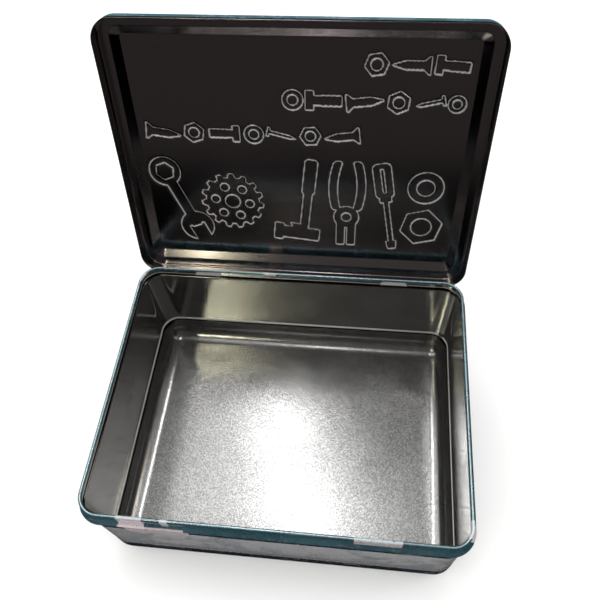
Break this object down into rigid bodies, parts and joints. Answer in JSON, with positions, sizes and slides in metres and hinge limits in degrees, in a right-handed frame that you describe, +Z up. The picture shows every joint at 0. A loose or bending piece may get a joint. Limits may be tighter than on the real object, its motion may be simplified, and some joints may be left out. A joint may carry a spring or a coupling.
{
  "type": "hinged storage tin",
  "caption": "Large rectangular tinplate storage tin with a stepped, embossed lid hinged at the back and standing open.",
  "frame": {"origin": "middle of the flat bottom, on the surface that the tin stands on", "axes": "+X to the right as seen from the front, +Y to the hinge at the back, +Z up; the lid stands open at rest"},
  "size_m": [0.2612, 0.2661, 0.2855],
  "materials": {
    "printed_wall": "worn teal print on tinplate, bare and bright inside",
    "bare_tinplate": "bright mottled tinplate, dark print outside",
    "printed_lid": "worn teal print on tinplate, lacquered and mirror-like inside",
    "strap_tinplate": "plain tinplate"
  },
  "bodies": {
    "base": {"body_wall": "printed_wall", "bottom_pan": "bare_tinplate"},
    "lid": {"lid": "printed_lid", "hinge_strap_left": "strap_tinplate", "hinge_strap_right": "strap_tinplate"}
  },
  "joints": [
    {"name": "lid_hinge", "type": "hinge", "parent": "base", "child": "lid", "pos_m": [0, 0.09965, 0.09355], "axis": [1, 0, 0], "range_deg": [0, 106]}
  ]
}
